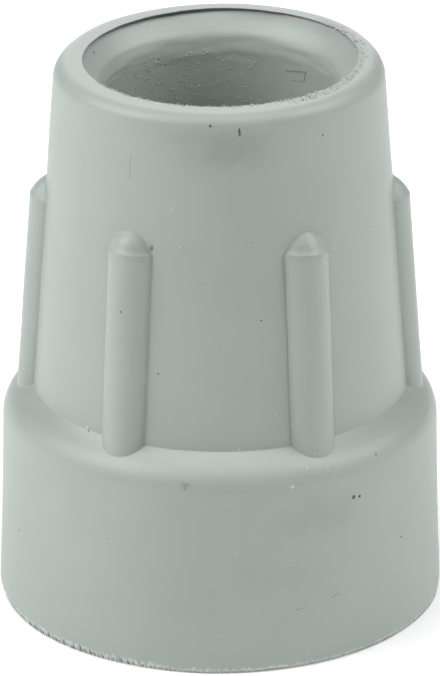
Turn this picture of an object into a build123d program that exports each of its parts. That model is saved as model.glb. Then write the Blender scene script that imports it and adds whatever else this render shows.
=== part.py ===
"""Rubber cane tip: one piece of soft moulded rubber, pushed onto the end of a 22 mm cane.

Millimetres. +Z runs up the cane, and the origin is the centre of the face that meets the ground.
Sizes run outwards from the cane: socket, rim, sleeve, then the wide foot. Each section below is
drawn in the XZ plane, with X as the distance from the cane's axis.
"""

import os
from math import radians, tan

from build123d import *

# Socket: a thin trimmed lip, a funnel, a short lead-in and the straight bore
bore_diameter = 22.0
lead_in_width = 0.4  # each side of the bore
lead_in_depth = 3.6  # below the rim
funnel_depth = 1.9  # below the rim
mouth_width = 2.1  # each side of the bore, at the rim
lip_overhang = 0.3
lip_thickness = 0.3
lip_underside_drop = 0.2
floor_thickness = 14.0  # from the ground to the socket's floor
floor_round = 1.5

# Sleeve: the tapered body, and the rolled rim at its top
height = 54.3
rim_width = 2.5  # from the mouth to the sleeve's outside
rim_round = 1.3
sleeve_flare = 2.45  # how much wider the sleeve is at its foot, each side
sleeve_foot_height = 21.45  # where the sleeve leaves the shoulder

# Foot: the wide end, with the draft that lets it leave its mould
shoulder_width = 3.35  # from the sleeve's foot to the ground face's edge
shoulder_slope = 27.0  # degrees above level, rising to the sleeve
shoulder_round = 2.3
foot_draft = 1.35  # degrees

# Ribs: half-round grips up the sleeve, each with a domed end
rib_count = 6
rib_radius = 2.65
rib_height = 1.5  # how far a rib stands out of the sleeve
rib_straight = 19.05  # from the sleeve's foot to the dome
rib_dome_length = 2.2

# Tread: ring grooves in the face that meets the ground
groove_count = 3
groove_width = 1.6
groove_depth = 1.4
groove_pitch = 4.8
outer_land = 5.2  # from the outermost groove to the edge

bore_radius = bore_diameter / 2
mouth_radius = bore_radius + mouth_width
rim_radius = mouth_radius + rim_width
sleeve_foot_radius = rim_radius + sleeve_flare
foot_radius = sleeve_foot_radius + shoulder_width

# The foot's drafted side and the shoulder's slope cross at the shoulder's sharp corner
draft = tan(radians(foot_draft))
rise = tan(radians(shoulder_slope))
crossing = foot_radius - draft * (sleeve_foot_height + rise * sleeve_foot_radius)
shoulder_radius = crossing / (1 - draft * rise)
shoulder_height = sleeve_foot_height - rise * (shoulder_radius - sleeve_foot_radius)

taper = sleeve_flare / (height - sleeve_foot_height)


def rib_axis(z):
    """Where a rib's own axis is at a height: it leans in with the sleeve's taper."""
    sleeve_radius = sleeve_foot_radius - taper * (z - sleeve_foot_height)
    return Vector(sleeve_radius + rib_height - rib_radius, 0, z)


# One rib: a round bar with a domed top, its lower end buried in the shoulder
rib_start = rib_axis(shoulder_height - shoulder_round)
rib_end = rib_axis(sleeve_foot_height + rib_straight)
rib_length = (rib_end - rib_start).length
rib_plane = Plane(origin=rib_start, x_dir=(1, 0, taper), z_dir=(0, -1, 0))

with BuildPart() as rib:
    with BuildSketch(rib_plane):
        with BuildLine():
            Line((0, 0), (rib_radius, 0))
            Line((rib_radius, 0), (rib_radius, rib_length))
            EllipticalCenterArc((0, rib_length), rib_radius, rib_dome_length)
            Line((0, rib_length + rib_dome_length), (0, 0))
        make_face()
    revolve(axis=Axis(rib_plane.origin, rib_plane.y_dir))

with BuildPart() as rubber_tip:
    # The whole turned section: foot, shoulder, sleeve, rim and socket
    with BuildSketch(Plane.XZ):
        with BuildLine():
            Polyline(
                (0, 0),
                (foot_radius, 0),
                (shoulder_radius, shoulder_height),
                (sleeve_foot_radius, sleeve_foot_height),
                (rim_radius, height),
                (mouth_radius, height),
                (mouth_radius, height - lip_thickness),
                (mouth_radius + lip_overhang, height - lip_thickness - lip_underside_drop),
                (bore_radius + lead_in_width, height - funnel_depth),
                (bore_radius, height - lead_in_depth),
                (bore_radius, floor_thickness),
                (0, floor_thickness),
                close=True,
            )
        make_face()
        fillet(vertices().sort_by_distance((shoulder_radius, shoulder_height))[0], shoulder_round)
        fillet(vertices().sort_by_distance((rim_radius, height))[0], rim_round)
        fillet(vertices().sort_by_distance((bore_radius, floor_thickness))[0], floor_round)
    revolve(axis=Axis.Z)

    # Ribs, one of them standing out at each side of the tip
    with PolarLocations(0, rib_count):
        add(rib.part)

    # Tread grooves, one ring at a time from the outside in
    for ring in range(groove_count):
        ring_radius = foot_radius - outer_land - ring * groove_pitch
        with BuildSketch():
            Circle(ring_radius)
            Circle(ring_radius - groove_width, mode=Mode.SUBTRACT)
        extrude(amount=groove_depth, mode=Mode.SUBTRACT)

rubber_tip.part.label = "rubber_tip"
os.makedirs("parts", exist_ok=True)
export_step(rubber_tip.part, "parts/rubber_tip.step")
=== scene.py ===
import math
import random

import bpy
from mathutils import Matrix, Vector, noise


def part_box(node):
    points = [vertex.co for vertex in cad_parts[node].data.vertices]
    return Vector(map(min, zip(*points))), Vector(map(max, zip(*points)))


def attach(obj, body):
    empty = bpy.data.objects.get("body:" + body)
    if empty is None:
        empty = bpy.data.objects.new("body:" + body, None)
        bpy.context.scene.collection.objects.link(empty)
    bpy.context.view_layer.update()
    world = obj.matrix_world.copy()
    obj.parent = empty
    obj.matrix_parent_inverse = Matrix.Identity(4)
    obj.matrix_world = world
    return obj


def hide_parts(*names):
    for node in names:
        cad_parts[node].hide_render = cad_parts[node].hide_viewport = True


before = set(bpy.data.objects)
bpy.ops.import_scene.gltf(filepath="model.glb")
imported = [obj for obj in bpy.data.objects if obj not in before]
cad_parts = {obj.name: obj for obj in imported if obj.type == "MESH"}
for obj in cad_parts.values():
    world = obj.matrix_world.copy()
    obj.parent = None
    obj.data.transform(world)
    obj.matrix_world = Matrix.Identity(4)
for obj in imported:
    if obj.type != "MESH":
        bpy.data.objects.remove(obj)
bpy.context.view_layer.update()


# ---------------------------------------------------------------------------------------------
# The moulded tip
# One piece of soft grey-green rubber. It is pressed in a hot mould, pulled off its core through
# the mouth, and trimmed by knife at the rim and round the ground face, where the cuts still show.
# Sizes here are millimetres. Azimuth runs from the front (-Y) towards +X.
# ---------------------------------------------------------------------------------------------

MM = 0.001
low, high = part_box("rubber_tip")
foot_radius = (high.x - low.x) / 2 / MM
height = high.z / MM

shoulder_width = 3.35
sleeve_flare = 2.45
rim_width = 2.5
mouth_width = 2.1
sleeve_foot_radius = foot_radius - shoulder_width
rim_radius = sleeve_foot_radius - sleeve_flare
mouth_radius = rim_radius - rim_width
bore_radius = mouth_radius - mouth_width
sleeve_foot_height = 21.55
taper = sleeve_flare / (height - sleeve_foot_height)
taper_angle = math.atan(taper)

COLUMNS = 360  # points round the tip, before a ring is split finer
EDGE_SPLIT = 4
RIM_SPLIT = 3


def fade(value, start, end):
    """0 before start, 1 after end, and a smooth rise between; it falls if end is below start."""
    share = min(max((value - start) / (end - start), 0.0), 1.0)
    return share * share * (3 - 2 * share)


def blend(start, end, share):
    return start + (end - start) * share


def degrees_apart(azimuth, other):
    """Signed angle from other to azimuth, in degrees."""
    return (math.degrees(azimuth) - other + 180) % 360 - 180


def near(azimuth, middle, reach, full):
    """1 within full degrees of the middle, fading to 0 at reach degrees from it."""
    return fade(abs(degrees_apart(azimuth, middle)), reach, full)


def on_tip(azimuth, radius, z):
    """A point of the tip, in metres."""
    return Vector((radius * math.sin(azimuth), -radius * math.cos(azimuth), z)) * MM


# Foot: a drafted side that rolls over a round shoulder and rises to the sleeve

foot_draft = math.radians(1.35)
foot_flare = 0.1  # how much wider the side is again just above the ground
shoulder_slope = math.radians(32)
shoulder_round = 3.2
rise = math.tan(shoulder_slope)
crossing = foot_radius - math.tan(foot_draft) * (sleeve_foot_height + rise * sleeve_foot_radius)
shoulder_radius = crossing / (1 - math.tan(foot_draft) * rise)
shoulder_height = sleeve_foot_height - rise * (shoulder_radius - sleeve_foot_radius)
shoulder_turn = math.pi / 2 - shoulder_slope - foot_draft
shoulder_reach = shoulder_round * math.tan(shoulder_turn / 2)
side_top = shoulder_height - shoulder_reach * math.cos(foot_draft)
roll_centre_radius = foot_radius - side_top * math.tan(foot_draft)
roll_centre_radius -= shoulder_round * math.cos(foot_draft)
roll_centre_height = side_top - shoulder_round * math.sin(foot_draft)
slope_radius = roll_centre_radius + shoulder_round * math.sin(shoulder_slope)
slope_height = roll_centre_height + shoulder_round * math.cos(shoulder_slope)

knife_tooth = 1.1  # spacing of the big cuts round the ground edge
trim_height = 0.95  # how far up the side they can reach
pale_height = 0.85  # and how far up they can leave it pale


def foot_side(z):
    return foot_radius - z * math.tan(foot_draft) + foot_flare * fade(z, 7, 1)


def cut(along, z, pitch, longest, lean, seed):
    """Depth, 0 to 1, of a row of leaning knife nicks that start at an edge and run up from it."""
    cell = math.floor((along + lean * z) / pitch)
    draws = [noise.cell(Vector((cell + 0.5, seed + k, 0.5))) for k in range(3)]
    chance, size, shift = (0.5 + 0.5 * draw for draw in draws)
    middle = (cell + 0.3 + 0.4 * shift) * pitch
    across = abs(along + lean * z - middle) / (0.17 * pitch * (0.6 + 0.8 * size))
    up = z / (longest * (0.35 + 0.65 * chance))
    return max(0.0, 1 - across) * max(0.0, 1 - up)


def bevel(azimuth, z):
    """How far the rounded bottom edge lies in from the side."""
    deep = 0.13 + 0.16 * near(azimuth, -85, 30, 12)
    deep += 0.14 * near(azimuth, 35, 40, 20)
    return deep * max(0, 1 - z / trim_height) ** 1.6


def ground_edge(azimuth, z):
    """How much rubber the trimming knife took off the side just above the ground."""
    along = azimuth * foot_radius
    torn = near(azimuth, -52, 34, 24)
    nicks = torn * 0.34 * cut(along, z, knife_tooth, trim_height, 0.5, 3)
    nicks += torn * 0.2 * cut(along, z, 0.55, 0.7, 0.6, 7)
    serration = 0.16 * cut(along, z, 0.37, 0.45, 0.25, 11)
    burr = 0.05 * noise.noise(Vector((along * 2.2, z * 2, 4))) * fade(z, 0.7, 0.1)
    return nicks + serration + burr + bevel(azimuth, z)


# Ribs: six half-round grips, each with a domed end above a fine step left by the cutter

rib_azimuths = (-150.0, -90.5, -30.6, 29.3, 90.0, 150.0)
rib_leans = (0.1, 0.0, 0.0, -0.1, 0.0, -0.1)  # how the domes' lower edges slant, in mm a mm
rib_steps = (0.3, 0.3, 1.0, 1.0, 0.3, 0.3)  # how clearly the cutter marked each one
rib_radius = 2.45
rib_height = 1.5
root_groove = 0.08  # depth of the fine crease where a rib meets the sleeve
dome_base = 40.5
dome_arch = 0.2  # how much higher a dome begins in the middle of its rib
dome_lengths = (2.1, 2.1, 1.92, 2.1, 2.1, 2.1)
dome_powers = (1.5, 1.5, 1.95, 1.65, 1.5, 1.5)  # 1 is a cone and 2 is a round dome
dome_step = 0.26  # how far a dome's foot is set in from its rib
score_lines = ((-0.12, 0.055), (-0.33, 0.04), (-0.66, 0.035))  # height from the dome, depth
score_half = 0.09  # half the width of such a line
dented_rib = 2  # the rib with a dent beside its dome
dent_place = (2.3, 0.65)  # across from that rib's middle, and above its dome's foot
dent_size = (0.3, 0.5)
dent_depth = 0.35


def sleeve(z):
    return sleeve_foot_radius - taper * (z - sleeve_foot_height)


def nearest_rib(azimuth):
    """The nearest rib's number, and how far round the sleeve it is from here, in mm."""
    apart = [degrees_apart(azimuth, rib) for rib in rib_azimuths]
    number = min(range(len(apart)), key=lambda n: abs(apart[n]))
    return number, math.radians(apart[number]) * sleeve(dome_base)


def dome_foot(azimuth):
    """Height at which the ribs' domes begin, which slants across each rib."""
    number, across = nearest_rib(azimuth)
    slant = rib_leans[number] * min(max(across, -3.2), 3.2) * fade(abs(across), 7, 3.5)
    return dome_base + slant + dome_arch * (fade(abs(across), 2.4, 0) - 0.5)


def rib_round(number, above):
    """Radius of a rib's own round: domed above the step, and scored with fine lines below it."""
    if above > 0:
        share = min(above / dome_lengths[number], 1)
        power = dome_powers[number]
        dome = (1 - share ** power) ** (1 / power)
        return (rib_radius - rib_steps[number] * dome_step * fade(above, -0.03, 0.32)) * dome
    scored = 0.0
    for line, depth in score_lines:
        scored += depth * max(0, 1 - abs(above - line) / score_half)
    burr = 0.05 * fade(above, -0.95, -0.5)
    return rib_radius + rib_steps[number] * (burr - scored)


def sleeve_and_ribs(azimuth, z):
    """Radius of the sleeve at a point, with the rib there if there is one."""
    body = sleeve(z)
    number, across = nearest_rib(azimuth)
    above = z - dome_foot(azimuth)
    half = rib_round(number, above)
    axis = body + rib_height - rib_radius
    turn = math.radians(degrees_apart(azimuth, rib_azimuths[number]))
    reach = half * half - (axis * math.sin(turn)) ** 2
    if number == dented_rib:
        beside = (across - dent_place[0]) / dent_size[0]
        over = (above - dent_place[1]) / dent_size[1]
        body -= dent_depth * fade(math.hypot(beside, over), 1, 0)
    if reach <= 0 or abs(turn) > 1:
        return body
    rib = axis * math.cos(turn) + math.sqrt(reach)
    inner = across * rib_azimuths[number] < 0
    groove = root_groove * (1 if inner else 0.35) * fade(above, 0.7, -0.2)
    return max(rib, body) - groove * max(0, 1 - abs(rib - body) / 0.3)


def shoulder_at(radius):
    """Height of the shoulder at a radius: its round, and the slope above that."""
    if radius > slope_radius:
        out = radius - roll_centre_radius
        return roll_centre_height + math.sqrt(shoulder_round ** 2 - out ** 2)
    return sleeve_foot_height - rise * (radius - sleeve_foot_radius)


def sleeve_foot(azimuth):
    """Where the sleeve, or a rib's lower end, meets the shoulder: radius and height."""
    radius, z = sleeve_foot_radius, sleeve_foot_height
    for _ in range(4):
        radius = sleeve_and_ribs(azimuth, z)
        z = shoulder_at(radius)
    return radius, z


# Rim: rolled over outside, cut off flat on top, with torn ticks where the knife dragged

rim_turn = math.pi / 2 - taper_angle
rim_tilt = 0.15  # how much higher the rim's +X side is cut than its middle
rim_back = 0.05  # and how much higher its back is
top_lean = -0.085  # how far the top leans along X
mouth_shift = (0.1, 0.38)  # how far the mouth sits off the sleeve's axis
lip_thickness = 0.1
lip_overhang = 0.16  # how far the hollow under the lip goes behind its edge
lip_drop = 0.15  # height of that hollow


def lip_hollow(azimuth):
    """How much further the hollow under the lip goes at the far left, where it is widest."""
    return 0.2 * near(azimuth, -142, 60, 20)


def rim_roll(azimuth):
    """Radius of the round outside the rim, which is larger at its sides."""
    right = near(azimuth, 85, 55, 15)
    left = near(azimuth, -90, 55, 15)
    return 1.3 + 0.55 * right + 0.33 * left


def rim_reach(azimuth):
    """How far from the sharp corner the rim's round begins."""
    return rim_roll(azimuth) * math.tan(rim_turn / 2)


def lean(azimuth, z):
    """How far the top leans to the side at a height, and how much its slanting rim is lifted."""
    slant = rim_tilt * math.sin(azimuth) - rim_back * math.cos(azimuth)
    slant += 0.04 * near(azimuth, 150, 60, 25)
    return top_lean * fade(z, 40, 47), slant * fade(z, dome_base + 3, height)


def rim_ticks(azimuth, radius):
    """Depth of the ticks dragged across the flat of the rim, mostly on one side."""
    torn = near(azimuth, 80, 62, 42)
    along = azimuth * rim_radius
    outward = radius - mouth_radius
    deep = cut(along, abs(outward - 0.65), 0.5, 0.8, 0.0, 23)
    shallow = cut(along, abs(outward - 0.2), 0.4, 0.6, 0.3, 31)
    return torn * (0.34 * deep + 0.14 * shallow) + 0.02 * shallow


def lip_edge(azimuth):
    """Ragged radius of the trimmed lip."""
    ragged = 0.05 + 0.12 * near(azimuth, 0, 60, 30)
    ragged += 0.14 * near(azimuth, 100, 50, 25)
    fine = noise.noise(Vector((math.cos(azimuth) * 38, math.sin(azimuth) * 38, 2)))
    coarse = noise.noise(Vector((math.cos(azimuth) * 7, math.sin(azimuth) * 7, 5)))
    inward = 0.23 * near(azimuth, -132, 60, 0)
    inward += 0.13 * near(azimuth, 155, 32, 0)
    return mouth_radius - inward + ragged * fine + 0.06 * coarse


# Socket: a funnel that eases into the straight bore, with faint rings from the core

funnel_lean = 0.97  # how fast the funnel narrows, in mm a mm
funnel_depth = 2.0
funnel_top = lip_thickness + lip_drop
ease_start = mouth_radius + lip_overhang - funnel_lean * (funnel_depth - funnel_top)
lead_in_depth = funnel_depth + 2.1
ring_relief = 0.075  # how far the core's rings stand out
floor_height = 14.0
floor_round = 1.5


def socket(azimuth, depth):
    """Radius of the socket at a depth under the rim."""
    if depth < funnel_depth:
        plain = mouth_radius + lip_overhang - funnel_lean * (depth - funnel_top)
    else:
        share = min((depth - funnel_depth) / (lead_in_depth - funnel_depth), 1)
        plain = bore_radius + (ease_start - bore_radius) * (1 - share) ** 2.1
    spot = Vector((math.cos(azimuth) * 2.2, math.sin(azimuth) * 2.2, depth * 2.3))
    rings = noise.noise(spot) + 0.5 * noise.noise(spot * 2.3)
    rings += 0.4 * noise.noise(Vector((math.cos(azimuth) * 3, math.sin(azimuth) * 3, depth * 5)))
    uneven = noise.noise(Vector((math.cos(azimuth) * 9, math.sin(azimuth) * 9, depth * 0.8)))
    where = fade(depth, 1.4, 2.6)
    return plain + ring_relief * rings * where * fade(depth, 5.5, 3.5) + 0.02 * uneven * where


def follows_mouth(depth):
    """How far the socket at a depth still follows the mouth off the sleeve's axis, 0 to 1."""
    return fade(depth, 9, 2)


# Tread: ring grooves in the ground face

groove_count = 3
groove_width = 1.6
groove_depth = 1.4
groove_pitch = 4.8
outer_land = 5.2
groove_lip = 0.12  # bevel of the grooves' edges


def wave(azimuth, z):
    """The slight unevenness that the hot rubber keeps all over its outside."""
    spot = Vector((math.sin(azimuth) * 2.4, math.cos(azimuth) * 2.4, z * 0.13))
    return 0.035 * noise.noise(spot) + 0.012 * noise.noise(spot * 3.1)


points = []
rings = []
marks = []  # first point, last point, soiling and paleness of each small mark


root_near = 6.2  # degrees from a rib's middle: its root lies between these two
root_far = 9.1


def crowded(part):
    """Degrees from a rib's middle at which a column goes, so that more of them lie at its roots."""
    away = abs(part)
    if away < 0.15:
        angle = blend(0, root_near, away / 0.15)
    elif away < 0.35:
        angle = blend(root_near, root_far, (away - 0.15) / 0.2)
    else:
        angle = blend(root_far, 30, (away - 0.35) / 0.15)
    return math.copysign(angle, part)


def ring(place, split=1, crowd=0.0, shift=0.0):
    """One ring of points. place gives radius and height, crowd gathers columns at the ribs'
    roots, and shift is how far the ring follows the mouth off the sleeve's axis."""
    count = COLUMNS * split
    sector = 2 * math.pi / len(rib_azimuths)
    numbers = []
    for column in range(count):
        even = 2 * math.pi * column / count
        part = even / sector % 1 - 0.5
        azimuth = even + crowd * (math.radians(crowded(part)) - part * sector)
        radius, z = place(azimuth)
        aside, lift = lean(azimuth, z)
        moved = Vector((aside + shift * mouth_shift[0], shift * mouth_shift[1], 0)) * MM
        numbers.append(len(points))
        points.append(on_tip(azimuth, radius, z + lift) + moved)
    rings.append(numbers)


def steps(start, end, count):
    """Evenly spaced values from start to end."""
    return [blend(start, end, n / (count - 1)) for n in range(count)]


# Underside, from the middle out: a plain disc, then each groove in turn
ring(lambda azimuth: (0.6, 0.0))
ring(lambda azimuth: (2.5, 0.0))
for number in reversed(range(groove_count)):
    outer = foot_radius - outer_land - number * groove_pitch
    inner = outer - groove_width
    for radius, z in (
        (inner - groove_lip, 0.0),
        (inner, groove_lip),
        (inner, groove_depth - groove_lip),
        (inner + groove_lip, groove_depth),
        (outer - groove_lip, groove_depth),
        (outer, groove_depth - groove_lip),
        (outer, groove_lip),
        (outer + groove_lip, 0.0),
    ):
        ring(lambda azimuth: (radius, z))
for radius in steps(foot_radius - 4.2, foot_radius - 0.9, 3):
    ring(lambda azimuth: (radius, 0.0))

# Ground edge, with the knife's nicks
for inset, z in ((0.35, 0.0), (0.1, 0.01), (0.0, 0.08)):
    ring(lambda azimuth: (foot_side(z) - inset - ground_edge(azimuth, 0), z), split=EDGE_SPLIT)
for z in (0.17, 0.28, 0.4, 0.53, 0.7, 0.9):
    ring(
        lambda azimuth: (foot_side(z) - ground_edge(azimuth, z) + wave(azimuth, z), z),
        split=EDGE_SPLIT,
    )

# Side of the foot, and the round of the shoulder
for z in steps(1.3, side_top, 11):
    ring(lambda azimuth: (foot_side(z) + wave(azimuth, z), z))


def on_shoulder(azimuth, share):
    """A point on the shoulder's round, which stops just short of a rib's lower end."""
    stop = max(sleeve_foot(azimuth)[0] + 0.1, slope_radius)
    turn = math.acos((stop - roll_centre_radius) / shoulder_round) - foot_draft
    angle = foot_draft + share * turn
    radius = roll_centre_radius + shoulder_round * math.cos(angle)
    z = roll_centre_height + shoulder_round * math.sin(angle)
    return radius + wave(azimuth, z), z


def on_slope(azimuth, share):
    """A point on the shoulder's slope, from its round to the sleeve or to a rib's lower end."""
    end_radius, end_height = sleeve_foot(azimuth)
    start_radius, start_height = on_shoulder(azimuth, 1)
    return blend(start_radius, end_radius, share), blend(start_height, end_height, share)


for share in steps(0, 1, 10)[1:]:
    ring(lambda azimuth: on_shoulder(azimuth, share), crowd=fade(share, 0, 1))


def on_sleeve(azimuth, share):
    """A point between the sleeve's foot and the fine lines below the ribs' domes."""
    z = blend(sleeve_foot(azimuth)[1], dome_foot(azimuth) - 1.0, share)
    return sleeve_and_ribs(azimuth, z) + wave(azimuth, z) * fade(share, 0, 0.08), z


def on_dome(azimuth, above):
    """A point of the sleeve near the ribs' upper ends, above or below where the domes begin."""
    z = dome_foot(azimuth) + above
    return sleeve_and_ribs(azimuth, z) + wave(azimuth, z), z


for share in (0.25, 0.5, 0.75, 0.94, 1.0):
    ring(lambda azimuth: on_slope(azimuth, share), crowd=1)
for share in (0.005, 0.02, 0.05, 0.1, 0.17, 0.25, 0.33, 0.42, 0.51, 0.6, 0.69, 0.78, 0.87, 0.94, 1.0):
    ring(lambda azimuth: on_sleeve(azimuth, share), crowd=1)
for above in (-0.84, -0.75, -0.66, -0.57, -0.42, -0.33, -0.24, -0.17, -0.09, -0.02, 0.06, 0.15):
    ring(lambda azimuth: on_dome(azimuth, above), crowd=1)
for share in steps(0.12, 1, 13):
    ring(lambda azimuth: on_dome(azimuth, max(dome_lengths) * math.sin(share * math.pi / 2)), crowd=1)


def on_top(azimuth, share):
    """A point of the plain sleeve between the domes and the rim's round."""
    top = height - rim_reach(azimuth) * math.cos(taper_angle)
    z = blend(dome_base + max(dome_lengths) + 0.5, top, share)
    return sleeve(z) + wave(azimuth, z), z


def on_roll(azimuth, share):
    """A point on the round outside the rim."""
    roll = rim_roll(azimuth)
    angle = taper_angle + share * rim_turn
    z = height - roll + roll * math.sin(angle)
    return rim_radius - rim_reach(azimuth) + roll * math.cos(angle) + wave(azimuth, z), z


for share in steps(0, 1, 12):
    ring(lambda azimuth: on_top(azimuth, share), crowd=1)

# Round of the rim, its flat, and the lip
for share in steps(0, 1, 10)[1:]:
    ring(lambda azimuth: on_roll(azimuth, share), crowd=1 - share)


def on_rim(azimuth, share):
    """A point on the cut flat of the rim, from its outer round to the lip."""
    radius = blend(rim_radius - rim_reach(azimuth), lip_edge(azimuth), share)
    return radius, height - rim_ticks(azimuth, radius)


for share in (0.06, 0.16, 0.26, 0.36, 0.45, 0.54, 0.63, 0.72, 0.8, 0.88, 0.94, 0.99):
    ring(lambda azimuth: on_rim(azimuth, share), split=RIM_SPLIT, shift=share)
for inset, drop in ((0.0, 0.03), (0.02, lip_thickness), (0.12, lip_thickness + 0.03)):
    ring(lambda azimuth: (lip_edge(azimuth) + inset, height - drop), split=RIM_SPLIT, shift=1)
for deeper in (0.5, 1):
    ring(
        lambda azimuth: (
            mouth_radius + lip_overhang + 0.5 * lip_hollow(azimuth),
            height - lip_thickness - 0.03 - deeper * (lip_drop - 0.03 + lip_hollow(azimuth)),
        ),
        split=RIM_SPLIT,
        shift=1,
    )

# Socket, down to its floor
for depth in steps(funnel_top + 0.2, 6.2, 27) + steps(6.2, 11, 4)[1:]:
    ring(lambda azimuth: (socket(azimuth, depth), height - depth), shift=follows_mouth(depth))
for z in steps(height - 11, floor_height + floor_round, 5)[1:]:
    ring(lambda azimuth: (bore_radius, z))
for share in steps(0, 1, 5)[1:]:
    angle = share * math.pi / 2
    radius = bore_radius - floor_round + floor_round * math.cos(angle)
    z = floor_height + floor_round - floor_round * math.sin(angle)
    ring(lambda azimuth: (radius, z))
ring(lambda azimuth: (6.0, floor_height))
ring(lambda azimuth: (1.5, floor_height))


def closed(numbers):
    """A ring's numbers with the first one again at the end."""
    return numbers + numbers[:1]


faces = []
ground_middle = len(points)
points.append(Vector((0, 0, 0)))
faces += [(ground_middle, b, a) for a, b in zip(rings[0], closed(rings[0])[1:])]
for lower, upper in zip(rings, rings[1:]):
    shared = math.gcd(len(lower), len(upper))
    lower_step, upper_step = len(lower) // shared, len(upper) // shared
    lower, upper = closed(lower), closed(upper)
    for n in range(shared):
        start = lower[n * lower_step:(n + 1) * lower_step + 1]
        end = upper[n * upper_step:(n + 1) * upper_step + 1]
        faces.append(start + end[::-1])
floor_middle = len(points)
points.append(Vector((0, 0, floor_height * MM)))
faces += [(a, b, floor_middle) for a, b in zip(rings[-1], closed(rings[-1])[1:])]


# Small marks: grains stuck in the skin, blisters in the bore, crumbs at the cuts, and scratches


def outside(azimuth, z):
    """Radius of the tip's outside at a height, with its ribs but without its finest marks."""
    if z < side_top:
        return foot_side(z) - ground_edge(azimuth, z) * (z < trim_height)
    if z < slope_height:
        return roll_centre_radius + math.sqrt(shoulder_round ** 2 - (z - roll_centre_height) ** 2)
    end_radius, end_height = sleeve_foot(azimuth)
    if z < end_height:
        return blend(slope_radius, end_radius, (z - slope_height) / (end_height - slope_height))
    roll = rim_roll(azimuth)
    above = z - (height - roll)
    if above < roll * math.sin(taper_angle):
        return sleeve_and_ribs(azimuth, z)
    return rim_radius - rim_reach(azimuth) + math.sqrt(max(roll * roll - above * above, 0))


def on_outside(azimuth, z):
    """A point of the outside and the direction in which it faces."""
    radius = outside(azimuth, z)
    fall = (outside(azimuth, z - 0.1) - outside(azimuth, z + 0.1)) / 0.2
    aside, lift = lean(azimuth, z)
    place = on_tip(azimuth, radius + wave(azimuth, z), z + lift) + Vector((aside * MM, 0, 0))
    return place, Vector((math.sin(azimuth), -math.cos(azimuth), fall)).normalized()


def in_socket(azimuth, depth):
    """A point of the socket's wall and the direction in which it faces."""
    follow = follows_mouth(depth)
    fall = (socket(azimuth, depth - 0.1) - socket(azimuth, depth + 0.1)) / 0.2
    aside = Vector((mouth_shift[0] * follow + top_lean, mouth_shift[1] * follow, 0)) * MM
    place = on_tip(azimuth, socket(azimuth, depth), height - depth) + aside
    return place, Vector((-math.sin(azimuth), math.cos(azimuth), fall)).normalized()


def on_flat(azimuth, outward):
    """A point of the rim's flat, outward of the lip, and the direction in which it faces."""
    _, lift = lean(azimuth, height)
    follow = 1 - outward / 1.2
    aside = Vector((mouth_shift[0] * follow + top_lean, mouth_shift[1] * follow, 0)) * MM
    return on_tip(azimuth, mouth_radius + outward, height + lift) + aside, Vector((0, 0, 1))


def grain(place, facing, size, relief, soil_and_shade=0.0, pale=0.0, tall=1.0):
    """A small rounded grain that stands out of the surface, with its underside inside it."""
    along = Vector((0, 0, 1)).cross(facing)
    along = along.normalized() if along.length > 0.1 else Vector((1, 0, 0))
    up = facing.cross(along)
    first = len(points)
    sides = 6
    for reach, lift in ((1.0, -0.04), (0.72, 0.6 * relief)):
        for side in range(sides):
            turn = 2 * math.pi * side / sides
            across = along * math.cos(turn) + up * math.sin(turn) * tall
            points.append(place + (across * reach * size + facing * lift) * MM)
    points.append(place + facing * relief * MM)
    for side in range(sides):
        after = (side + 1) % sides
        faces.append((first + side, first + after, first + sides + after, first + sides + side))
        faces.append((first + sides + side, first + sides + after, first + 2 * sides))
    faces.append(tuple(first + side for side in reversed(range(sides))))
    marks.append((first, len(points), soil_and_shade, pale))


def stroke(spots, width, relief, soil_and_shade=0.0, pale=0.0):
    """A thin line on the surface through some spots, each with its place and facing."""
    first = len(points)
    for number, (place, facing) in enumerate(spots):
        before = spots[max(number - 1, 0)][0]
        after = spots[min(number + 1, len(spots) - 1)][0]
        across = (after - before).cross(facing).normalized()
        half = width / 2 * (0.4 if number in (0, len(spots) - 1) else 1.0)
        points.append(place + (across * half - facing * 0.03) * MM)
        points.append(place + facing * relief * MM)
        points.append(place - (across * half + facing * 0.03) * MM)
    for number in range(len(spots) - 1):
        start = first + 3 * number
        for side in range(3):
            after = (side + 1) % 3
            faces.append((start + side, start + after, start + 3 + after, start + 3 + side))
    last = first + 3 * (len(spots) - 1)
    faces.append((first + 2, first + 1, first))
    faces.append((last, last + 1, last + 2))
    marks.append((first, len(points), soil_and_shade, pale))


# azimuth, height and size of each grain that stands out
dark_grains = (
    (-3, 53.5, 0.12), (37, 16.3, 0.2), (38.9, 16.2, 0.15), (24.1, 20.15, 0.06), (-30, 35, 0.08),
    (13, 34.4, 0.08), (28, 21.3, 0.05), (46, 19.6, 0.08), (55, 10, 0.09), (-66, 9, 0.09),
    (37.5, 51.3, 0.09), (-19.3, 28.9, 0.08), (-43.3, 21.5, 0.07),
)
pale_grains = (
    (-13, 41.5, 0.14), (10, 38, 0.09), (-9, 33.5, 0.08), (1, 32, 0.08), (11, 25.5, 0.1),
    (17, 25, 0.11), (-49, 45, 0.1), (4, 12.5, 0.1), (-25, 12, 0.1), (-29, 12.5, 0.1),
    (24, 20.1, 0.17), (19, 18.7, 0.2), (5.6, 21.7, 0.16), (-45, 22.6, 0.1), (-77, 28.5, 0.1),
    (-44, 21.75, 0.24), (-19, 29.1, 0.08), (29.6, 19.6, 0.14), (6, 8, 0.08), (0, 4, 0.07),
    (23, 1.6, 0.09),
)
for azimuth, z, size in dark_grains:
    grain(*on_outside(math.radians(azimuth), z), 1.35 * size, 0.04, soil_and_shade=1.0)
for azimuth, z, size in pale_grains:
    grain(*on_outside(math.radians(azimuth), z), 1.2 * size, 0.08, pale=0.65)

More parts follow.
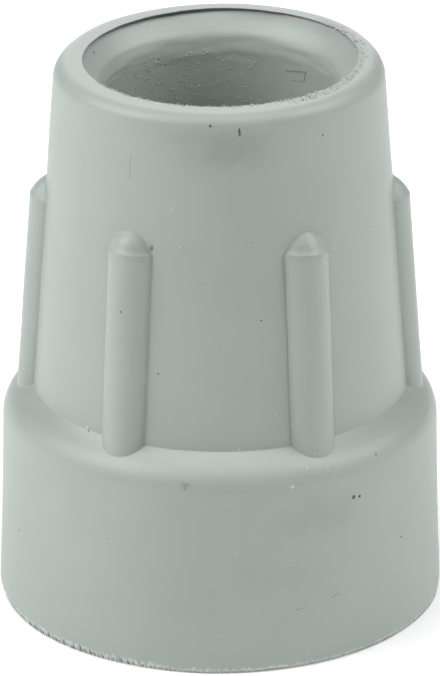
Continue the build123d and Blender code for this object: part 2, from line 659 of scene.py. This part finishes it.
for azimuth, z in (  # two faint rough patches low on the front left
    (-41.4, 7.9), (-40.5, 7.6), (-41, 7.2), (-40.6, 8.1), (-40.1, 5.8), (-40.9, 5.4), (-39.9, 5.2),
):
    grain(*on_outside(math.radians(azimuth), z), 0.08, 0.04, soil_and_shade=0.28)

scatter = random.Random(12)
speck_count = 170
blister_count = 360
funnel_speck_count = 40
near_crumb_count = 95
torn_crumb_count = 120

for _ in range(speck_count):
    z = scatter.uniform(1, height - 2.5)
    azimuth = scatter.uniform(-math.pi, math.pi)
    size = 0.03 + 0.045 * scatter.random() ** 2
    dark = scatter.random() < 0.45
    place, facing = on_outside(azimuth, z)
    grain(place, facing, size, 0.02, soil_and_shade=0.3 * dark, pale=0.25 * (not dark))

for _ in range(blister_count):  # blisters, thickest on the left of the bore's far wall
    azimuth = math.radians(scatter.gauss(-163, 27))
    depth = 3.4 + 6.6 * scatter.random()
    size = 0.06 + 0.09 * scatter.random() ** 1.3
    grain(*in_socket(azimuth, depth), size, 0.42 * size, tall=scatter.uniform(0.5, 1.3))
for _ in range(funnel_speck_count):
    azimuth = scatter.uniform(-math.pi, math.pi)
    size = 0.04 + 0.06 * scatter.random() ** 2
    grain(*in_socket(azimuth, 0.6 + 8 * scatter.random()), size, 0.5 * size, soil_and_shade=0.25)

for _ in range(near_crumb_count):  # crumbs along the near lip
    azimuth = math.radians(scatter.uniform(-62, 45))
    size = 0.07 + 0.07 * scatter.random() ** 2
    grain(*on_flat(azimuth, scatter.uniform(-0.08, 0.15)), size, 0.95 * size, pale=0.4)
for _ in range(torn_crumb_count):  # and on the torn side of the rim
    azimuth = math.radians(scatter.uniform(32, 125))
    size = 0.05 + 0.09 * scatter.random() ** 2
    dark = scatter.random() < 0.5
    place, facing = on_flat(azimuth, scatter.uniform(0.1, 1.1))
    grain(place, facing, size, 0.4 * size, soil_and_shade=0.3 * dark, pale=0.4 * (not dark), tall=1.5)


def line_on(surface, *spots):
    """Closely spaced places on a surface, along a line through azimuths and heights or depths.
    A corner is taken only once."""
    shares = steps(0, 1, 5)
    line = []
    for (start, start_level), (end, end_level) in zip(spots, spots[1:]):
        for share in shares[1:] if line else shares:
            azimuth = math.radians(blend(start, end, share))
            line.append(surface(azimuth, blend(start_level, end_level, share)))
    return line


stroke(line_on(on_outside, (7.1, 52.45), (6.7, 53.25)), 0.34, 0.04, soil_and_shade=1.0)
stroke(line_on(on_outside, (-10.2, 19.35), (-7.8, 19.3)), 0.32, 0.035, soil_and_shade=0.24)
stroke(line_on(on_outside, (-9, 19.3), (-9.3, 18.7)), 0.4, 0.035, soil_and_shade=0.28)
stroke(line_on(on_outside, (19.5, 6.0), (22.7, 6.15)), 0.12, 0.04, soil_and_shade=0.32)
stroke(line_on(on_outside, (29.8, 6.55), (32, 6.85)), 0.12, 0.04, soil_and_shade=0.3)
stroke(line_on(on_outside, (-31.2, 47.4), (-31, 49.8)), 0.1, 0.03, soil_and_shade=0.14)
stroke(line_on(in_socket, (145.3, 4.85), (131.3, 4.32), (132.8, 5.4)), 0.15, 0.06, soil_and_shade=0.5)
stroke(line_on(in_socket, (140.7, 5.55), (133.5, 5.4)), 0.1, 0.05, soil_and_shade=0.35)


def at_ground(azimuth, z):
    """A point of the trimmed ground edge, without its nicks, and the direction in which it faces."""
    radius = foot_side(z) - bevel(azimuth, z)
    return on_tip(azimuth, radius, z), Vector((math.sin(azimuth), -math.cos(azimuth), 0))


# The knife's slashes round the ground edge, longest at the front left: each a dark cut with a
# pale, torn side
azimuth = -78.0
while azimuth < 80:
    torn = fade(azimuth, -8, -22) * fade(azimuth, -80, -68)
    tall = blend(scatter.uniform(0.15, 0.35), scatter.uniform(0.25, 0.7), torn)
    for aside, wide, soil_and_shade, pale in ((0, 0.25, 0.8, 0), (0.5, 0.2, 0, 1.5)):
        foot = math.radians(azimuth + aside)
        top = foot - 0.35 * tall / foot_radius
        rise_to = 0.12 * torn + tall
        line = []
        for share in steps(0, 1, 3):
            line.append(at_ground(blend(foot, top, share), blend(0.1 * torn, rise_to, share)))
        strength = blend(0.55, 1, torn) * scatter.uniform(0.5, 1)
        width = wide * blend(0.7, 1, torn) * scatter.uniform(0.6, 1.2)
        stroke(line, width, 0.03, soil_and_shade=soil_and_shade * strength, pale=pale * strength)
    azimuth += blend(scatter.uniform(0.7, 1.2), scatter.uniform(0.8, 1.7), torn)

tip_mesh = bpy.data.meshes.new("moulded_tip")
tip_mesh.from_pydata(points, [], faces)
tip_mesh.polygons.foreach_set("use_smooth", [True] * len(faces))
tip_mesh.validate()

# Brown dirt with painted shade, and pale patches with painted light, painted on the points. Each
# smear: azimuth, height, half width, half height, strength
smears_and_shade = (
    # dirt round the pit below the rim, spread wider as painted shade over the top of the front of the
    # sleeve
    (3, 51.0, 5.0, 2.2, 0.23),
    # painted shade on the left of the shoulder's slope
    (-58, 20.7, 9.0, 1.1, 0.1),
    (9, 52.0, 2.6, 1.0, 0.16),
    (-14, 52.1, 2.4, 0.5, 0.1),
    (-9, 19.2, 0.5, 0.35, 0.35),
    # painted shade over the lower front of the foot
    (-2, 7.5, 13.0, 9.0, 0.06),
    (27, 15.2, 5.0, 2.0, 0.17),
)


def soiling_and_shade(point):
    """How brown the rubber is at a point, 0 to 1: brown dirt, and painted shade under the far lip, on
    the left of the shoulder's slope, low on the front of the foot and over the top of the front.
    """
    azimuth = math.atan2(point.x, -point.y)
    z = point.z / MM
    # Painted shade: the socket just under the far right of the lip is darkened where the lip shades
    # it.
    if point.xy.length < (mouth_radius + 0.8) * MM:
        shaded = fade(height - z, 1.3, 0.3) * (height - z > lip_thickness)
        return 0.22 * shaded * near(azimuth, 147, 36, 18)
    total = 0.0
    for middle, middle_height, wide, tall, strength in smears_and_shade:
        along = math.radians(degrees_apart(azimuth, middle)) * point.xy.length / MM / wide
        away = math.hypot(along, (z - middle_height) / tall)
        if away < 1.6:
            cloud = 0.7 + 0.9 * noise.noise(Vector((along * 3, z * 1.5, middle)))
            total += strength * cloud * fade(away, 1.3, 0.1)
    return min(max(total, 0.0), 1.0)


def paleness_and_light(point):
    """How pale the rubber is where the ground edge was trimmed, with painted light on the far side of
    the funnel and on the front of the shoulder, which are painted paler where they face up into the
    light."""
    turn = math.atan2(point.x, -point.y)
    azimuth = abs(math.degrees(turn) + 5)
    radius = point.xy.length / MM
    z = point.z / MM
    if z < pale_height and radius > foot_radius - 0.8:
        along = turn * foot_radius
        torn = fade(degrees_apart(turn, 0), -8, -22)
        ragged = noise.noise(Vector((along * 2.6, 0.3, 9)))
        ragged += 0.6 * noise.noise(Vector((along * 6, 0.3, 9)))
        top = blend(0.42, 0.66, torn) + 0.3 * ragged
        fibres = 0.75 + 0.6 * noise.noise(Vector((along * 7 + 2 * z, z * 1.5, 3)))
        return 1.15 * fibres * fade(z, top + 0.1, top - 0.08) * fade(azimuth, 110, 75)
    # Painted light: the far side of the funnel, which faces up into the light, is painted paler.
    if z > height - 2.2 and radius < mouth_radius + 0.3 and height - z > lip_thickness + 0.1:
        return 0.08 * fade(azimuth, 100, 150) + 0.15 * near(turn, -165, 70, 15)
    # Painted light: the front of the shoulder's slope, which faces up into the light from above, is
    # painted paler.
    if radius > sleeve_foot_radius and slope_height - 1 < z < shoulder_at(radius) + 0.06:
        return 0.56 * fade(radius, foot_radius - 0.6, sleeve_foot_radius) * fade(azimuth, 62, 25)
    return 0.0


def fresh_cut(point):
    """How freshly cut, and so greyer, the rim's flat is: mostly at the back."""
    if point.z / MM < height - 0.6:
        return 0.0
    azimuth = abs(math.degrees(math.atan2(point.x, -point.y)))
    middle = Vector(mouth_shift) * MM
    beyond = (point.xy - middle).length / MM - mouth_radius
    patchy = 0.75 + 0.4 * noise.noise(point * 900)
    return patchy * fade(beyond, -0.15, 0) * fade(beyond, 1.8, 1.2) * fade(azimuth, 85, 125)


soil_and_shade_values = [soiling_and_shade(point) for point in points]
pale_and_lit_values = [paleness_and_light(point) for point in points]
cut_values = [fresh_cut(point) for point in points]
for first, last, soil_and_shade, pale in marks:
    soil_and_shade_values[first:last] = [soil_and_shade] * (last - first)
    pale_and_lit_values[first:last] = [pale] * (last - first)
tip_mesh.attributes.new("soiled_and_shaded", "FLOAT", "POINT").data.foreach_set("value", soil_and_shade_values)
tip_mesh.attributes.new("pale", "FLOAT", "POINT").data.foreach_set("value", pale_and_lit_values)
tip_mesh.attributes.new("cut", "FLOAT", "POINT").data.foreach_set("value", cut_values)


def link(tree, start, end):
    tree.links.new(start, end)


def moulded_rubber():
    """Matt grey-green rubber: faint clouding, pin specks, brown dirt with some painted shade, paler
    patches with some painted light, and a fine moulded skin.
    """
    material = bpy.data.materials.new("moulded_rubber")
    material.use_nodes = True
    tree = material.node_tree
    nodes = tree.nodes
    shader = nodes["Principled BSDF"]
    place = nodes.new("ShaderNodeTexCoord").outputs["Object"]

    clouds = nodes.new("ShaderNodeTexNoise")
    clouds.inputs["Scale"].default_value = 130
    clouds.inputs["Detail"].default_value = 4
    clouds.inputs["Roughness"].default_value = 0.55
    link(tree, place, clouds.inputs["Vector"])
    tone = nodes.new("ShaderNodeValToRGB")
    tone.color_ramp.elements[0].position = 0.3
    tone.color_ramp.elements[0].color = (0.351, 0.398, 0.371, 1)
    tone.color_ramp.elements[1].position = 0.7
    tone.color_ramp.elements[1].color = (0.369, 0.417, 0.390, 1)
    link(tree, clouds.outputs["Fac"], tone.inputs["Fac"])

    pin_specks = nodes.new("ShaderNodeTexVoronoi")
    pin_specks.inputs["Scale"].default_value = 900
    link(tree, place, pin_specks.inputs["Vector"])
    is_speck = nodes.new("ShaderNodeMapRange")
    is_speck.inputs["From Min"].default_value = 0.13
    is_speck.inputs["From Max"].default_value = 0.07
    link(tree, pin_specks.outputs["Distance"], is_speck.inputs["Value"])
    chosen = nodes.new("ShaderNodeSeparateColor")
    link(tree, pin_specks.outputs["Color"], chosen.inputs["Color"])
    few = nodes.new("ShaderNodeMath")
    few.operation = "GREATER_THAN"
    few.inputs[1].default_value = 0.94
    link(tree, chosen.outputs["Red"], few.inputs[0])
    speck_amount = nodes.new("ShaderNodeMath")
    speck_amount.operation = "MULTIPLY"
    link(tree, is_speck.outputs["Result"], speck_amount.inputs[0])
    link(tree, few.outputs["Value"], speck_amount.inputs[1])
    speckled = nodes.new("ShaderNodeMix")
    speckled.data_type = "RGBA"
    speckled.inputs["B"].default_value = (0.47, 0.49, 0.47, 1)
    link(tree, speck_amount.outputs["Value"], speckled.inputs["Factor"])
    link(tree, tone.outputs["Color"], speckled.inputs["A"])

    fresh = nodes.new("ShaderNodeAttribute")
    fresh.attribute_name = "cut"
    freshened = nodes.new("ShaderNodeMix")
    freshened.data_type = "RGBA"
    freshened.inputs["B"].default_value = (0.38, 0.39, 0.40, 1)
    link(tree, fresh.outputs["Fac"], freshened.inputs["Factor"])
    link(tree, speckled.outputs["Result"], freshened.inputs["A"])

    # Pale rubber at the trimmed ground edge and on grains and crumbs, and painted light on the far
    # side of the funnel and the front of the shoulder.
    pale_and_lit = nodes.new("ShaderNodeAttribute")
    pale_and_lit.attribute_name = "pale"
    paled_and_lit = nodes.new("ShaderNodeMix")
    paled_and_lit.data_type = "RGBA"
    paled_and_lit.inputs["B"].default_value = (0.56, 0.615, 0.565, 1)
    link(tree, pale_and_lit.outputs["Fac"], paled_and_lit.inputs["Factor"])
    link(tree, freshened.outputs["Result"], paled_and_lit.inputs["A"])

    # Brown dirt, which also carries painted shade under the far lip, on the left of the shoulder, low
    # on the front of the foot and over the top front of the sleeve.
    soil_and_shade = nodes.new("ShaderNodeAttribute")
    soil_and_shade.attribute_name = "soiled_and_shaded"
    dirt_and_shade = nodes.new("ShaderNodeMix")
    dirt_and_shade.data_type = "RGBA"
    dirt_and_shade.inputs["B"].default_value = (0.085, 0.068, 0.056, 1)
    link(tree, soil_and_shade.outputs["Fac"], dirt_and_shade.inputs["Factor"])
    link(tree, paled_and_lit.outputs["Result"], dirt_and_shade.inputs["A"])
    link(tree, dirt_and_shade.outputs["Result"], shader.inputs["Base Color"])

    sheen_patches = nodes.new("ShaderNodeMapRange")
    sheen_patches.inputs["To Min"].default_value = 0.36
    sheen_patches.inputs["To Max"].default_value = 0.44
    link(tree, clouds.outputs["Fac"], sheen_patches.inputs["Value"])
    link(tree, sheen_patches.outputs["Result"], shader.inputs["Roughness"])

    skin = nodes.new("ShaderNodeTexNoise")
    skin.inputs["Scale"].default_value = 2600
    skin.inputs["Detail"].default_value = 3
    link(tree, place, skin.inputs["Vector"])
    raised = nodes.new("ShaderNodeBump")
    raised.inputs["Strength"].default_value = 0.25
    raised.inputs["Distance"].default_value = 0.00004
    link(tree, skin.outputs["Fac"], raised.inputs["Height"])
    link(tree, raised.outputs["Normal"], shader.inputs["Normal"])
    return material


tip = bpy.data.objects.new("moulded_tip", tip_mesh)
bpy.context.collection.objects.link(tip)
tip_mesh.materials.append(moulded_rubber())
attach(tip, "root")
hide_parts("rubber_tip")


# ---------------------------------------------------------------------------------------------
# Floor
# A plain pale sheet under the tip, wide enough to fill the view from any side. It gives off a
# little light of its own, so that no hard shadow shows on it.
# ---------------------------------------------------------------------------------------------

floor_half = 30.0
floor_gap = 0.02 * MM  # so that the floor and the ground face are never in one plane
floor_glow = 0.21
floor_mesh = bpy.data.meshes.new("floor")
floor_mesh.from_pydata(
    [(x * floor_half, y * floor_half, -floor_gap) for x, y in ((-1, -1), (1, -1), (1, 1), (-1, 1))],
    [],
    [(0, 1, 2, 3)],
)
floor_paint = bpy.data.materials.new("pale_floor")
floor_paint.use_nodes = True
floor_shader = floor_paint.node_tree.nodes["Principled BSDF"]
floor_shader.inputs["Base Color"].default_value = (0.9, 0.9, 0.9, 1)
floor_shader.inputs["Roughness"].default_value = 0.9
floor_shader.inputs["Emission Color"].default_value = (1, 1, 1, 1)
floor_shader.inputs["Emission Strength"].default_value = floor_glow
floor_mesh.materials.append(floor_paint)
floor = bpy.data.objects.new("floor", floor_mesh)
bpy.context.collection.objects.link(floor)


# ---------------------------------------------------------------------------------------------
# Studio
# A dim white room and large soft lights. The strongest stand high at both sides and little
# comes from the front, which is why the tip's sides are lighter than its middle.
# ---------------------------------------------------------------------------------------------

studio = bpy.context.scene
studio.view_settings.view_transform = "Standard"
room = bpy.data.worlds.new("white_room")
room.use_nodes = True
room.node_tree.nodes["Background"].inputs["Color"].default_value = (1, 1, 1, 1)
room.node_tree.nodes["Background"].inputs["Strength"].default_value = 0.1
studio.world = room

light_distance = 0.6
light_width = 0.4


def soft_light(name, azimuth, elevation, power):
    """A square soft light that faces the tip's middle and isn't seen by the camera itself."""
    light = bpy.data.lights.new(name, "AREA")
    light.size = light_width
    light.energy = power
    lamp = bpy.data.objects.new(name, light)
    turn, rise_angle = math.radians(azimuth), math.radians(elevation)
    away = Vector((
        math.sin(turn) * math.cos(rise_angle),
        -math.cos(turn) * math.cos(rise_angle),
        math.sin(rise_angle),
    ))
    lamp.location = away * light_distance + Vector((0, 0, height / 2 * MM))
    lamp.rotation_euler = away.to_track_quat("Z", "Y").to_euler()
    lamp.visible_camera = False
    bpy.context.collection.objects.link(lamp)


# name, azimuth, elevation, power
soft_light("left_front", -60, 45, 1.153)
soft_light("left", -90, 45, 1.555)
soft_light("left_low", -90, 15, 0.419)
soft_light("right", 90, 45, 1.886)
soft_light("right_low", 90, 15, 0.247)
soft_light("front_high", 0, 70, 0.505)
soft_light("above", 0, 90, 0.525)
soft_light("behind", 180, 15, 0.707)
soft_light("behind_high", 180, 45, 0.127)

# Camera: a long lens, looking down at the tip from the front
camera_distance = 0.5501
camera_height = 0.2618
camera_pitch = math.radians(23.25)
lens = bpy.data.cameras.new("camera")
lens.lens = 330.8
lens.sensor_width = 36
camera = bpy.data.objects.new("camera", lens)
camera.location = (0, -camera_distance, camera_height)
camera.rotation_euler = (math.pi / 2 - camera_pitch, 0, 0)
bpy.context.collection.objects.link(camera)
studio.camera = camera
